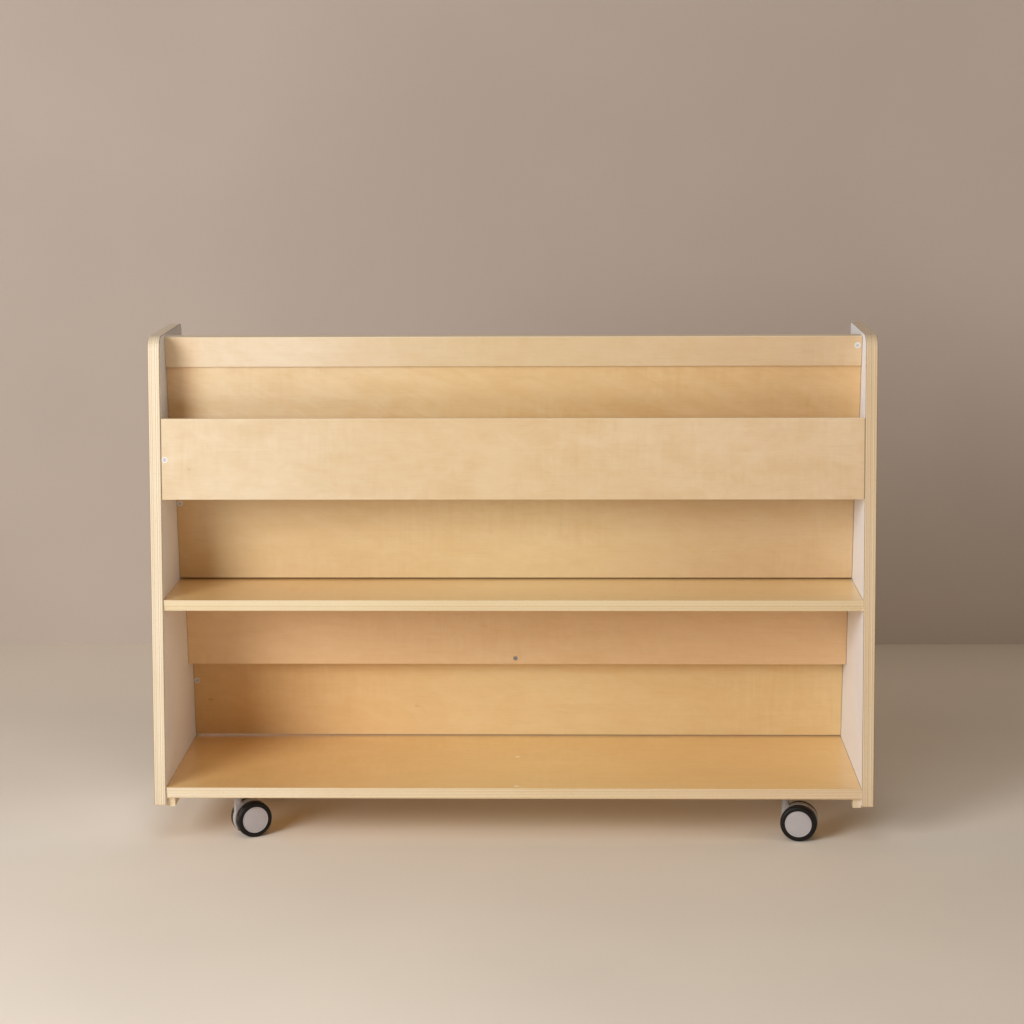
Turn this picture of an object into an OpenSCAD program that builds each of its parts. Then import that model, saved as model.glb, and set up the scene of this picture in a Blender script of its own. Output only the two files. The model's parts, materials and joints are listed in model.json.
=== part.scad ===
// Book display shelf on castors: leaning plywood end panels with a front book pocket,
// two open shelves, and three narrow face-out slots on the reverse.
// Front is -Y, width runs along X, Z is up and Z = 0 is the floor.

/* [Overall] */
// Width over both end panels
overall_width = 1200; // [1000:10:1400]
// Height of an end panel
panel_height = 779.5; // [740:0.5:860]
// Depth of an end panel at its top edge
top_depth = 234; // [215:1:260]
// Lean of the panels' edges and of the boards, in degrees
lean = 5; // [4:0.5:7]

/* [End panels] */
// Thickness of the plywood core
core_thickness = 18; // [15:0.5:22]
// Thickness of the white laminate on each face
laminate_thickness = 0.8; // [0.6:0.1:1.2]
// How far the laminate stops short of the core's edge
laminate_inset = 0.8; // [0.4:0.1:2]
// Radius of the top front corner
top_front_radius = 24; // [6:1:30]
// Radius of the top rear corner
top_rear_radius = 8; // [2:1:20]
// Radius of the two foot corners
foot_radius = 3; // [2:1:20]
// How far the panels reach below the bottom shelf's underside
panel_drop = 12; // [6:0.5:18]

/* [Shelves] */
// Thickness of the shelves, the rails and the lip
board_thickness = 18; // [16:1:21]
// Easing of the long front edges
edge_radius = 1.5; // [0.5:0.1:3]
// Setback of the shelf fronts from the panels' front edges
shelf_recess = 2.5; // [1:0.5:15]
// Clear height between the bottom and the middle shelf
bottom_clear = 296.5; // [270:0.5:320]
// Clear height between the middle shelf and the pocket floor
middle_clear = 165.5; // [150:0.5:185]
// Height of the rear ledge's underside over the bottom shelf
ledge_rise = 150; // [130:1:180]

/* [Front pocket] */
// Height of the lip board
lip_height = 134; // [110:1:160]
// Setback of the lip from the panels' front edges
lip_setback = 2; // [1:0.5:16]

/* [Leaning boards] */
// Thickness of the leaning boards
leaning_thickness = 12; // [10:1:15]
// Height of the top rail
rail_height = 50; // [44:1:60]
// Drop of the top rail below the panels' top edges
rail_drop = 5.5; // [0:0.5:12]
// Set-in of the top rail's face from the panels' top front corner
rail_set_in = 51; // [46:1:60]
// Setback of the lower board's rear face from the panels' rear edges
rear_recess = 16; // [6:1:20]
// Height by which each board rises over the ledge behind it
slot_rim = 85; // [60:1:95]
// Shadow gap between a leaning board and the shelf under it
board_gap = 3; // [2:0.5:6]

/* [Joinery] */
// Diameter of the wooden dowels
dowel_diameter = 8; // [6:1:8]
// Length of the wooden dowels
dowel_length = 28; // [24:1:30]
// Distance of a leaning board's dowels from its edges
dowel_edge = 28; // [20:1:40]
// Distance of a shelf's dowels from its front and rear edge
shelf_dowel_edge = 40; // [35:1:50]
// Distance of the top rail's dowels from its edges
rail_dowel_edge = 12; // [10:1:14]
// Diameter of a cam housing
cam_diameter = 10; // [9:0.5:11]
// Distance of the left cams' centres from the board's end
cam_inset = 6; // [5.8:0.1:9]
// Distance of the top rail's cam from the rail's end
rail_cam_inset = 8; // [6:0.5:12]
// Height of the top rail's cam over the rail's lower edge
rail_cam_height = 34; // [30:1:37]
// Height of the lip's cam over the lip's lower edge
lip_cam_height = 66; // [50:1:80]
// Height of the middle board's cam over its lower edge
middle_cam_height = 132; // [80:1:180]
// Height of the lower board's cam over its lower edge
lower_cam_height = 101; // [70:1:160]
// Radial gap round a glued or pressed pin
seat_play = 0.05; // [0.02:0.01:0.1]
// Diameter of the wood screws' shanks
screw_diameter = 4; // [3.5:0.1:4.5]
// Width of the cleats under the bottom shelf
cleat_width = 14; // [12:1:20]
// Height of the cleats
cleat_height = 15.5; // [14:0.5:22]
// Distance of the cleats' ends from the bottom shelf's edges
cleat_end_gap = 5; // [3:1:40]
// Diameter of the bottom shelf's two plugs
plug_diameter = 8; // [5:0.5:9]

/* [Castors] */
// Height of a castor from the floor to the bottom shelf
castor_height = 82.5; // [79:0.5:90]
// Diameter of the wheels
wheel_diameter = 62; // [54:1:64]
// Width of one wheel
wheel_width = 14.5; // [13:0.5:18]
// Gap between a castor's two wheels
wheel_gap = 11.5; // [11:0.5:14]
// Diameter of the grey wheel disc
disc_diameter = 45; // [38:1:48]
// Trail of the axle behind the swivel pin
trail = 23; // [18:1:25]
// Distance of the swivel pins from the panels' outer faces
castor_side_distance = 137; // [110:1:180]
// Shift of all castors along X, as they are screwed on
castor_shift = -4; // [-6:1:6]
// Distance of the swivel pins from the panels' foot corners
castor_edge_distance = 57; // [57:1:75]
// Width of the square mounting plate
plate_width = 42; // [40:1:46]
// Thickness of the mounting plate
plate_thickness = 2.5; // [2:0.1:3]
// Spacing of the plate's screw holes
plate_hole_spacing = 32; // [30:0.5:33]
// Diameter of the swivel pin
pin_diameter = 7; // [6:0.5:8]
// Diameter of the axle
axle_diameter = 6; // [5:0.5:7]
// Diameter of the castor's neck
neck_diameter = 12.5; // [12:0.5:18]
// Radial running clearance on the pin and the axle
running_play = 0.05; // [0.02:0.01:0.08]

/* [Hidden] */
$fn = 64;

// Colours
birch = "#e3c79b";
birch_edge = "#ecd8b0";
white = "#ebe8e4";
light_grey = "#b0aaa6";
black = "#1c1b1c";
steel = "#a8a8aa";
zinc = "#8f9092";
beech = "#d9b98c";

// Heights
bottom_top = castor_height + board_thickness;
panel_foot = castor_height - panel_drop;
panel_top = panel_foot + panel_height;
middle_under = bottom_top + bottom_clear;
middle_top = middle_under + board_thickness;
pocket_under = middle_top + middle_clear;
pocket_top = pocket_under + board_thickness;
ledge_under = bottom_top + ledge_rise;
ledge_top = ledge_under + board_thickness;
rail_top = panel_top - rail_drop;
rail_under = rail_top - rail_height;

// Widths
panel_thickness = core_thickness + 2 * laminate_thickness;
inner_x = overall_width / 2 - panel_thickness;
board_length = 2 * inner_x;

// Horizontal widths of the leaning boards, and their set-in at the panel's top
thick_run = board_thickness / cos(lean);
thin_run = leaning_thickness / cos(lean);
lower_set_in = top_depth - rear_recess - thin_run;
slot_step = (lower_set_in - rail_set_in) / 3;
upper_set_in = rail_set_in + thick_run - thin_run;
middle_set_in = rail_set_in + slot_step;
rear_rail_set_in = rail_set_in + 2 * slot_step;

// Heights of the leaning boards' front corners; a square cut edge rises or falls across the thickness
square_rise = board_thickness * sin(lean);
upper_span = [pocket_top + board_gap, rail_under + (board_thickness - leaning_thickness) * sin(lean)];
middle_span = [middle_top + board_gap, pocket_top + slot_rim];
rear_rail_span = [ledge_under - square_rise, middle_top + slot_rim];
lower_span = [bottom_top + board_gap, ledge_top + slot_rim];
lip_span = [pocket_under + square_rise, pocket_under + square_rise + lip_height];

// Depth of the front edge, the lip's planes and the planes that lean with the rear edge
function front_edge(z) = -top_depth / 2 - (panel_top - z) * tan(lean);
function rear_edge(z) = -front_edge(z);
function leaning_face(set_in, z) = -top_depth / 2 + set_in + (panel_top - z) * tan(lean);
function lip_face(z) = front_edge(z) + lip_setback;

// Front and rear edges of the level boards
middle_front = front_edge(middle_top) + shelf_recess;
bottom_front = front_edge(bottom_top) + shelf_recess;
bottom_rear = leaning_face(lower_set_in, lower_span[0]) + thin_run;

// A corner is [y, z, radius]; the result is the outline with each corner rounded
corner_steps = 6;
function unit(v) = v / norm(v);
function flat(c) = [c[0], c[1]];
function corner_arc(before, at, after) =
    let (
        r = at[2],
        a = unit(flat(before) - flat(at)),
        b = unit(flat(after) - flat(at)),
        half = acos(a * b) / 2,
        start = flat(at) + a * r / tan(half),
        finish = flat(at) + b * r / tan(half),
        centre = flat(at) + unit(a + b) * r / sin(half),
        from = atan2(start[1] - centre[1], start[0] - centre[0]),
        to = atan2(finish[1] - centre[1], finish[0] - centre[0]),
        turn = (to - from + 540) % 360 - 180
    )
    r == 0 ? [flat(at)] : [
        for (i = [0 : corner_steps])
            let (angle = from + turn * i / corner_steps)
            centre + r * [cos(angle), sin(angle)]
    ];
function rounded(corners) =
    let (n = len(corners))
    [for (i = [0 : n - 1]) each corner_arc(corners[(i + n - 1) % n], corners[i], corners[(i + 1) % n])];

// A board along X with its section drawn in Y and Z
module along_x(corners, length = board_length) {
    rotate([90, 0, 90])
        linear_extrude(length, center = true)
            polygon(rounded(corners));
}

// Sections of the boards; the edges are cut square to the faces
function square_section(low, high, across, radii) = [
    [low[0], low[1], radii[0]],
    [low[0] + across[0], low[1] + across[1], radii[1]],
    [high[0] + across[0], high[1] + across[1], radii[2]],
    [high[0], high[1], radii[3]]
];
function leaning_section(set_in, thickness, span, low_r, high_r) = square_section(
    [leaning_face(set_in, span[0]), span[0]],
    [leaning_face(set_in, span[1]), span[1]],
    thickness * [cos(lean), sin(lean)],
    [low_r, low_r, high_r, high_r]
);
function level_section(front, rear, under, front_r, rear_r) = [
    [front[0], under, front_r],
    [rear[0], under, rear_r],
    [rear[1], under + board_thickness, rear_r],
    [front[1], under + board_thickness, front_r]
];

// Dowels, as [y, z] places on the boards' ends
function leaning_mid(set_in, run, z) = [leaning_face(set_in, z) + run / 2, z];
function leaning_dowels(set_in, run, span, edge) = [
    leaning_mid(set_in, run, span[0] + edge),
    leaning_mid(set_in, run, span[1] - edge)
];
lip_dowels = [
    for (z = [lip_span[0] + dowel_edge, lip_span[1] - dowel_edge]) [lip_face(z) + thick_run / 2, z]
];
rail_dowel_low = leaning_mid(rail_set_in, thick_run, rail_under + rail_dowel_edge);
rail_dowel_high = leaning_mid(rail_set_in, thick_run, rail_top - rail_dowel_edge);
upper_dowels = leaning_dowels(upper_set_in, thin_run, upper_span, dowel_edge);
middle_board_dowels = leaning_dowels(middle_set_in, thin_run, middle_span, dowel_edge);
rear_rail_dowels = leaning_dowels(rear_rail_set_in, thick_run, rear_rail_span, dowel_edge);
lower_dowels = leaning_dowels(lower_set_in, thin_run, lower_span, dowel_edge);
pocket_floor_mid = pocket_under + board_thickness / 2;
pocket_floor_dowels = [
    [lip_face(pocket_floor_mid) + thick_run + shelf_dowel_edge, pocket_floor_mid],
    [leaning_face(middle_set_in, pocket_floor_mid) - shelf_dowel_edge, pocket_floor_mid]
];
middle_shelf_mid = middle_under + board_thickness / 2;
middle_shelf_dowels = [
    [middle_front + shelf_dowel_edge, middle_shelf_mid],
    [leaning_face(rear_rail_set_in, middle_shelf_mid) - shelf_dowel_edge, middle_shelf_mid]
];
bottom_shelf_mid = castor_height + board_thickness / 2;
bottom_shelf_dowels = [
    for (y = [bottom_front + shelf_dowel_edge, 0, bottom_rear - shelf_dowel_edge]) [y, bottom_shelf_mid]
];
ledge_mid = ledge_under + board_thickness / 2;
ledge_dowels = [[
    (leaning_face(rear_rail_set_in, ledge_mid) + thick_run + leaning_face(lower_set_in, ledge_mid)) / 2,
    ledge_mid
]];
dowels_both_ends = concat(
    lip_dowels, [rail_dowel_low], upper_dowels, middle_board_dowels, rear_rail_dowels,
    lower_dowels, pocket_floor_dowels, middle_shelf_dowels, bottom_shelf_dowels, ledge_dowels
);
dowels_left = concat(dowels_both_ends, [rail_dowel_high]);
dowels_right = dowels_both_ends;
function dowels_of(side) = side < 0 ? dowels_left : dowels_right;
dowel_end_room = 1;

// Cams, as [side, y, z, lean, thickness, inset] on the front faces; the bolt runs at mid thickness
rail_cam_z = rail_under + rail_cam_height;
lip_cam_z = lip_span[0] + lip_cam_height;
middle_cam_z = middle_span[0] + middle_cam_height;
lower_cam_z = lower_span[0] + lower_cam_height;
rail_cam = [1, leaning_face(rail_set_in, rail_cam_z), rail_cam_z, lean, board_thickness, rail_cam_inset];
lip_cam = [-1, lip_face(lip_cam_z), lip_cam_z, -lean, board_thickness, cam_inset];
middle_cam = [-1, leaning_face(middle_set_in, middle_cam_z), middle_cam_z, lean, leaning_thickness, cam_inset];
lower_cam = [-1, leaning_face(lower_set_in, lower_cam_z), lower_cam_z, lean, leaning_thickness, cam_inset];
cams = [rail_cam, lip_cam, middle_cam, lower_cam];
cam_floor = 2;
cam_disc_play = 0.1;
cam_disc_diameter = cam_diameter - 3.4;
cam_slot_width = 1.2;
cam_slot_depth = 1.5;
cam_disc_drop = 0.2;
bolt_diameter = 5;
bolt_neck_diameter = 3;
bolt_head_diameter = 4.4;
bolt_depth = 12;
function cam_axis_depth(c) = c[4] / 2;
function cam_depth(c) = c[4] - cam_floor;

// Castors, in the order front left, front right, rear left, rear right
castor_tags = ["fl", "fr", "rl", "rr"];
castor_turns = [28, -9, 8, -15];
castor_x = overall_width / 2 - castor_side_distance;
castor_y = -front_edge(panel_foot) - castor_edge_distance;
castor_places = [for (fy = [-1, 1], fx = [-1, 1]) [fx * castor_x + castor_shift, fy * castor_y]];
wheel_radius = wheel_diameter / 2;
disc_radius = disc_diameter / 2;
plate_under = castor_height - plate_thickness;
plate_corner_radius = 5;
swivel_gap = 0.3;
neck_top = plate_under - swivel_gap;
neck_radius = neck_diameter / 2;
wheel_side_play = 0.5;
body_width = wheel_gap - 2 * wheel_side_play;
neck_wheel_gap = 1;
hood_over = 0.5;
hood_radius = wheel_radius + hood_over;
hood_floor_gap = 14;
neck_reach = max(0, trail - neck_radius);
neck_foot = wheel_radius + sqrt(pow(wheel_radius + neck_wheel_gap, 2) - pow(neck_reach, 2));
pin_end_gap = 1;
pin_foot = neck_foot - 6;
axle_grip = 10;
bore_end_gap = 0.5;
tyre_outer_radius = 3.5;
tyre_inner_radius = 2;
disc_chamfer = 0.6;
disc_rim_width = 1.6;
disc_rim_height = 0.5;
disc_dome = 1;
hole_play = 0.2;
screw_grip = 12;
screw_head_diameter = 2 * screw_diameter;
screw_head_height = 2.4;
screw_cross = 1;

// Places of the small screws and plugs
cleat_x = inner_x - cleat_width / 2;
cleat_front = bottom_front + cleat_end_gap;
cleat_rear = bottom_rear - cleat_end_gap;
cleat_length = cleat_rear - cleat_front;
cleat_screw_count = 4;
cleat_screw_pitch = 70;
cleat_screw_places = [
    for (side = [-1, 1], i = [0 : cleat_screw_count - 1])
        [side * cleat_x, (i - (cleat_screw_count - 1) / 2) * cleat_screw_pitch]
];
castor_screw_places = [
    for (p = castor_places, dx = [-1, 1], dy = [-1, 1])
        p + [dx, dy] * plate_hole_spacing / 2
];
front_plug_edge = 14;
front_plug_x = 6;
rear_plug_x = 3.5;
rear_plug_y = 15;
plug_places = [[front_plug_x, bottom_front + front_plug_edge], [rear_plug_x, rear_plug_y]];
plug_depth = 10;
ledge_screw_x = -1;
ledge_screw_length = board_thickness + 20;
ledge_socket_width = 4;
ledge_socket_depth = 2;

// Holes for a list of dowels at both ends of a board
module dowel_holes(places, sides = [-1, 1]) {
    for (side = sides, p = places)
        translate([side * inner_x, p[0], p[1]])
            rotate([0, 90, 0])
                cylinder(d = dowel_diameter + 2 * seat_play, h = dowel_length + 2 * dowel_end_room, center = true);
}

// The pocket of one cam in its board, with the bolt's hole to the board's end
module cam_frame(c) {
    translate([c[0] * (inner_x - c[5]), c[1], c[2]])
        rotate([c[3], 0, 0])
            rotate([-90, 0, 0])
                children();
}
module cam_pocket(c) {
    cam_frame(c) {
        translate([0, 0, -1])
            cylinder(d = cam_diameter + 2 * seat_play, h = cam_depth(c) + 1);
        translate([0, 0, cam_axis_depth(c)])
            rotate([0, c[0] * 90, 0])
                cylinder(d = bolt_diameter + 2 * seat_play, h = c[5] + 1);
    }
}

// The hole of one cam's bolt in the end panel
module bolt_hole(c) {
    cam_frame(c)
        translate([0, 0, cam_axis_depth(c)])
            rotate([0, c[0] * 90, 0])
                translate([0, 0, c[5] - 1])
                    cylinder(d = bolt_diameter + 2 * seat_play, h = bolt_depth + 2);
}

// End panels
function panel_corners(inset) = [
    [front_edge(panel_foot) + inset / cos(lean), panel_foot + inset, foot_radius],
    [rear_edge(panel_foot) - inset / cos(lean), panel_foot + inset, foot_radius],
    [rear_edge(panel_top) - inset / cos(lean), panel_top - inset, top_rear_radius],
    [front_edge(panel_top) + inset / cos(lean), panel_top - inset, top_front_radius]
];
module panel_drilling(side) {
    dowel_holes(dowels_of(side), [side]);
    for (c = cams)
        if (c[0] == side)
            bolt_hole(c);
}
module panel_core(side) {
    color(birch_edge)
        difference() {
            translate([side * (inner_x + panel_thickness / 2), 0, 0])
                along_x(panel_corners(0), core_thickness);
            panel_drilling(side);
        }
}
module laminate_outer(side) {
    color(white)
        translate([side * (overall_width - laminate_thickness) / 2, 0, 0])
            along_x(panel_corners(laminate_inset), laminate_thickness);
}
module laminate_inner(side) {
    color(white)
        difference() {
            translate([side * (inner_x + laminate_thickness / 2), 0, 0])
                along_x(panel_corners(laminate_inset), laminate_thickness);
            panel_drilling(side);
        }
}

// Leaning boards
module top_rail() {
    color(birch)
        difference() {
            along_x(leaning_section(rail_set_in, board_thickness, [rail_under, rail_top], 0, edge_radius));
            dowel_holes([rail_dowel_low]);
            dowel_holes([rail_dowel_high], [-1]);
            cam_pocket(rail_cam);
        }
}
module upper_board() {
    color(birch)
        difference() {
            along_x(leaning_section(upper_set_in, leaning_thickness, upper_span, 0, 0));
            dowel_holes(upper_dowels);
        }
}
module middle_board() {
    color(birch)
        difference() {
            along_x(leaning_section(middle_set_in, leaning_thickness, middle_span, 0, edge_radius));
            dowel_holes(middle_board_dowels);
            cam_pocket(middle_cam);
        }
}
module rear_rail() {
    color(birch)
        difference() {
            along_x(leaning_section(rear_rail_set_in, board_thickness, rear_rail_span, 0, edge_radius));
            dowel_holes(rear_rail_dowels);
            ledge_screw_hole();
        }
}
module lower_board() {
    color(birch)
        difference() {
            along_x(leaning_section(lower_set_in, leaning_thickness, lower_span, 0, edge_radius));
            dowel_holes(lower_dowels);
            cam_pocket(lower_cam);
        }
}

// Lip of the front pocket
module lip_board() {
    color(birch)
        difference() {
            along_x(square_section(
                [lip_face(lip_span[0]), lip_span[0]],
                [lip_face(lip_span[1]), lip_span[1]],
                board_thickness * [cos(lean), -sin(lean)],
                [edge_radius, 0, edge_radius, edge_radius]
            ));
            dowel_holes(lip_dowels);
            cam_pocket(lip_cam);
        }
}

// Level boards
module pocket_floor() {
    front = [lip_face(pocket_under) + thick_run, lip_face(pocket_top) + thick_run];
    rear = [leaning_face(middle_set_in, pocket_under), leaning_face(middle_set_in, pocket_top)];
    color(birch)
        difference() {
            along_x(level_section(front, rear, pocket_under, 0, 0));
            dowel_holes(pocket_floor_dowels);
        }
}
module middle_shelf() {
    rear = [leaning_face(rear_rail_set_in, middle_under), leaning_face(rear_rail_set_in, middle_top)];
    color(birch)
        difference() {
            along_x(level_section([middle_front, middle_front], rear, middle_under, edge_radius, 0));
            dowel_holes(middle_shelf_dowels);
        }
}
module bottom_shelf() {
    color(birch)
        difference() {
            along_x(level_section(
                [bottom_front, bottom_front], [bottom_rear, bottom_rear],
                castor_height, edge_radius, edge_radius
            ));
            dowel_holes(bottom_shelf_dowels);
            for (p = concat(cleat_screw_places, castor_screw_places))
                translate([p[0], p[1], castor_height - 1])
                    cylinder(d = screw_diameter + 2 * seat_play, h = screw_grip + 2);
            for (p = plug_places)
                translate([p[0], p[1], bottom_top - plug_depth])
                    cylinder(d = plug_diameter + 2 * seat_play, h = plug_depth + 1);
        }
}
module rear_ledge() {
    front = [leaning_face(rear_rail_set_in, ledge_under), leaning_face(rear_rail_set_in, ledge_top)];
    rear = [leaning_face(lower_set_in, ledge_under), leaning_face(lower_set_in, ledge_top)];
    color(birch)
        difference() {
            along_x(level_section([front[0] + thick_run, front[1] + thick_run], rear, ledge_under, 0, 0));
            dowel_holes(ledge_dowels);
            ledge_screw_hole();
        }
}

// Cleats between the bottom shelf and the end panels
module cleat(side) {
    color(birch)
        difference() {
            translate([side * cleat_x, (cleat_front + cleat_rear) / 2, castor_height - cleat_height / 2])
                cube([cleat_width, cleat_length, cleat_height], center = true);
            for (p = cleat_screw_places)
                if (p[0] * side > 0)
                    translate([p[0], p[1], castor_height - cleat_height - 1]) {
                        cylinder(d = screw_diameter + 2 * seat_play, h = cleat_height + 2);
                        cylinder(d = screw_head_diameter + hole_play, h = screw_head_height + 1);
                    }
        }
}

// Dowels in all board ends
module dowels() {
    color(beech)
        for (side = [-1, 1], p = dowels_of(side))
            translate([side * inner_x, p[0], p[1]])
                rotate([0, 90, 0])
                    cylinder(d = dowel_diameter, h = dowel_length, center = true);
}

// Cam fittings
module cam_housings() {
    color(white)
        for (c = cams)
            cam_frame(c)
                difference() {
                    cylinder(d = cam_diameter, h = cam_depth(c));
                    translate([0, 0, -1])
                        cylinder(d = cam_disc_diameter + 2 * cam_disc_play, h = cam_depth(c));
                    translate([0, 0, cam_axis_depth(c)])
                        rotate([0, c[0] * 90, 0])
                            cylinder(d = bolt_head_diameter + hole_play, h = cam_diameter);
                }
}
module cam_discs() {
    color(zinc)
        for (c = cams)
            cam_frame(c)
                difference() {
                    translate([0, 0, cam_disc_drop])
                        cylinder(d = cam_disc_diameter, h = cam_depth(c) - 1 - cam_disc_drop - cam_disc_play);
                    for (turn = [0, 90])
                        rotate([0, 0, turn])
                            translate([-cam_disc_diameter * 0.4, -cam_slot_width / 2, -1])
                                cube([cam_disc_diameter * 0.8, cam_slot_width, 1 + cam_disc_drop + cam_slot_depth]);
                    translate([0, 0, cam_axis_depth(c)])
                        rotate([0, c[0] * 90, 0])
                            cylinder(d = bolt_head_diameter + hole_play, h = cam_diameter);
                }
}
module connecting_bolts() {
    head_length = 1.5;
    color(steel)
        for (c = cams)
            cam_frame(c)
                translate([0, 0, cam_axis_depth(c)])
                    rotate([0, c[0] * 90, 0]) {
                        translate([0, 0, c[5]])
                            cylinder(d = bolt_diameter, h = bolt_depth);
                        translate([0, 0, head_length / 2])
                            cylinder(d = bolt_neck_diameter, h = c[5]);
                        translate([0, 0, 0.3])
                            cylinder(d = bolt_head_diameter, h = head_length);
                    }
}

// A screw along +Z with its head's underside at the origin, and the same with a cross recess
module plain_screw(grip) {
    cylinder(d = screw_diameter, h = grip);
    translate([0, 0, -screw_head_height])
        cylinder(d = screw_head_diameter, h = screw_head_height);
}
module wood_screw(grip) {
    difference() {
        plain_screw(grip);
        for (turn = [0, 90])
            rotate([0, 0, turn])
                translate([0, 0, -screw_head_height])
                    cube([screw_head_diameter * 0.6, screw_cross, 2 * screw_cross], center = true);
    }
}
module ledge_screw_frame() {
    translate([ledge_screw_x, leaning_face(rear_rail_set_in, ledge_mid), ledge_mid])
        rotate([lean, 0, 0])
            rotate([-90, 0, 0])
                children();
}
module ledge_screw_hole() {
    ledge_screw_frame() {
        translate([0, 0, -1])
            cylinder(d = screw_head_diameter + hole_play, h = screw_head_height + 1);
        cylinder(d = screw_diameter + 2 * seat_play, h = ledge_screw_length + 1);
    }
}
module ledge_screw() {
    color(zinc)
        ledge_screw_frame()
            difference() {
                translate([0, 0, screw_head_height])
                    plain_screw(ledge_screw_length - screw_head_height);
                translate([0, 0, -1])
                    cylinder(d = ledge_socket_width / cos(30), h = ledge_socket_depth + 1, $fn = 6);
            }
}
module cleat_screws() {
    color(zinc)
        for (p = cleat_screw_places)
            translate([p[0], p[1], castor_height - cleat_height + screw_head_height])
                wood_screw(cleat_height - screw_head_height + screw_grip);
}
module castor_screws() {
    color(zinc)
        for (p = castor_screw_places)
            translate([p[0], p[1], plate_under])
                wood_screw(plate_thickness + screw_grip);
}
module shelf_plugs() {
    color(white)
        for (p = plug_places)
            translate([p[0], p[1], bottom_top - plug_depth])
                cylinder(d = plug_diameter, h = plug_depth);
}

// Castors: the frame of castor i stands on the floor at its swivel pin, with the trail along X
module castor_frame(i) {
    translate([castor_places[i][0], castor_places[i][1], 0])
        rotate([0, 0, castor_turns[i]])
            children();
}
module castor_plate(i) {
    half = plate_width / 2;
    color(steel)
        translate([castor_places[i][0], castor_places[i][1], plate_under])
            difference() {
                linear_extrude(plate_thickness)
                    polygon(rounded([
                        for (c = [[-1, -1], [1, -1], [1, 1], [-1, 1]]) [c[0] * half, c[1] * half, plate_corner_radius]
                    ]));
                translate([0, 0, -1])
                    cylinder(d = pin_diameter + 2 * seat_play, h = plate_thickness + 2);
                for (dx = [-1, 1], dy = [-1, 1])
                    translate([dx * plate_hole_spacing / 2, dy * plate_hole_spacing / 2, -1])
                        cylinder(d = screw_diameter + hole_play, h = plate_thickness + 2);
            }
}
module castor_pin(i) {
    color(steel)
        castor_frame(i)
            translate([0, 0, pin_foot + pin_end_gap])
                cylinder(d = pin_diameter, h = castor_height - pin_foot - pin_end_gap);
}
module castor_body(i) {
    color(light_grey)
        castor_frame(i)
            difference() {
                union() {
                    translate([0, body_width / 2, 0])
                        rotate([90, 0, 0])
                            linear_extrude(body_width)
                                intersection() {
                                    union() {
                                        translate([trail, wheel_radius])
                                            circle(r = hood_radius);
                                        translate([-neck_radius, wheel_radius])
                                            square([neck_diameter, neck_foot + 2 - wheel_radius]);
                                    }
                                    translate([-2 * wheel_diameter, hood_floor_gap])
                                        square([4 * wheel_diameter, castor_height]);
                                }
                    translate([0, 0, neck_foot])
                        cylinder(d = neck_diameter, h = neck_top - neck_foot);
                }
                translate([0, 0, pin_foot])
                    cylinder(d = pin_diameter + 2 * running_play, h = castor_height);
                translate([trail, 0, wheel_radius])
                    rotate([90, 0, 0])
                        cylinder(d = axle_diameter + 2 * seat_play, h = 2 * wheel_gap, center = true);
            }
}
module castor_axle(i) {
    color(steel)
        castor_frame(i)
            translate([trail, 0, wheel_radius])
                rotate([90, 0, 0])
                    cylinder(d = axle_diameter, h = wheel_gap + 2 * axle_grip, center = true);
}

// The frame of one wheel: origin on its inner face, Z outwards; side -1 is the near wheel
module wheel_frame(i, side) {
    castor_frame(i)
        translate([trail, side * wheel_gap / 2, wheel_radius])
            rotate([-side * 90, 0, 0])
                children();
}
module wheel(i, side) {
    bore_radius = axle_diameter / 2 + running_play;
    rim_top = wheel_width + disc_rim_height;
    rim_inside = disc_radius - disc_chamfer - disc_rim_width;
    dome_radius = rim_inside - disc_rim_height;
    dome_steps = 8;
    dome = [
        for (k = [0 : dome_steps])
            let (t = k / dome_steps)
            [dome_radius * (1 - t), wheel_width + disc_dome * (1 - pow(1 - t, 2))]
    ];
    color(light_grey)
        wheel_frame(i, side)
            rotate_extrude()
                polygon(concat(
                    [[bore_radius, 0], [disc_radius, 0], [disc_radius, rim_top - disc_chamfer]],
                    [[disc_radius - disc_chamfer, rim_top], [rim_inside, rim_top]],
                    dome,
                    [[0, axle_grip + bore_end_gap], [bore_radius, axle_grip + bore_end_gap]]
                ));
}
module tyre(i, side) {
    color(black)
        wheel_frame(i, side)
            rotate_extrude()
                polygon(rounded([
                    [disc_radius, 0, 0],
                    [wheel_radius, 0, tyre_inner_radius],
                    [wheel_radius, wheel_width, tyre_outer_radius],
                    [disc_radius, wheel_width, 0]
                ]));
}

panel_core(-1);  // end_panel_left
panel_core(1);  // end_panel_right
laminate_inner(-1);  // laminate_left_inner
laminate_outer(-1);  // laminate_left_outer
laminate_inner(1);  // laminate_right_inner
laminate_outer(1);  // laminate_right_outer
top_rail();
upper_board();
middle_board();
rear_rail();
lower_board();
lip_board();
pocket_floor();
middle_shelf();
bottom_shelf();
rear_ledge();
cleat(-1);  // cleat_left
cleat(1);  // cleat_right
dowels();
cam_housings();
cam_discs();
connecting_bolts();
ledge_screw();
cleat_screws();
castor_screws();
shelf_plugs();
for (i = [0 : 3]) {
    name = str("castor_", castor_tags[i], "_");
    castor_plate(i);
    castor_pin(i);
    castor_body(i);
    castor_axle(i);
    wheel(i, -1);
    wheel(i, 1);
    tyre(i, -1);
    tyre(i, 1);
}
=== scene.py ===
import json
import math

import bmesh
import bpy
import numpy as np
from mathutils import Matrix, Vector


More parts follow.
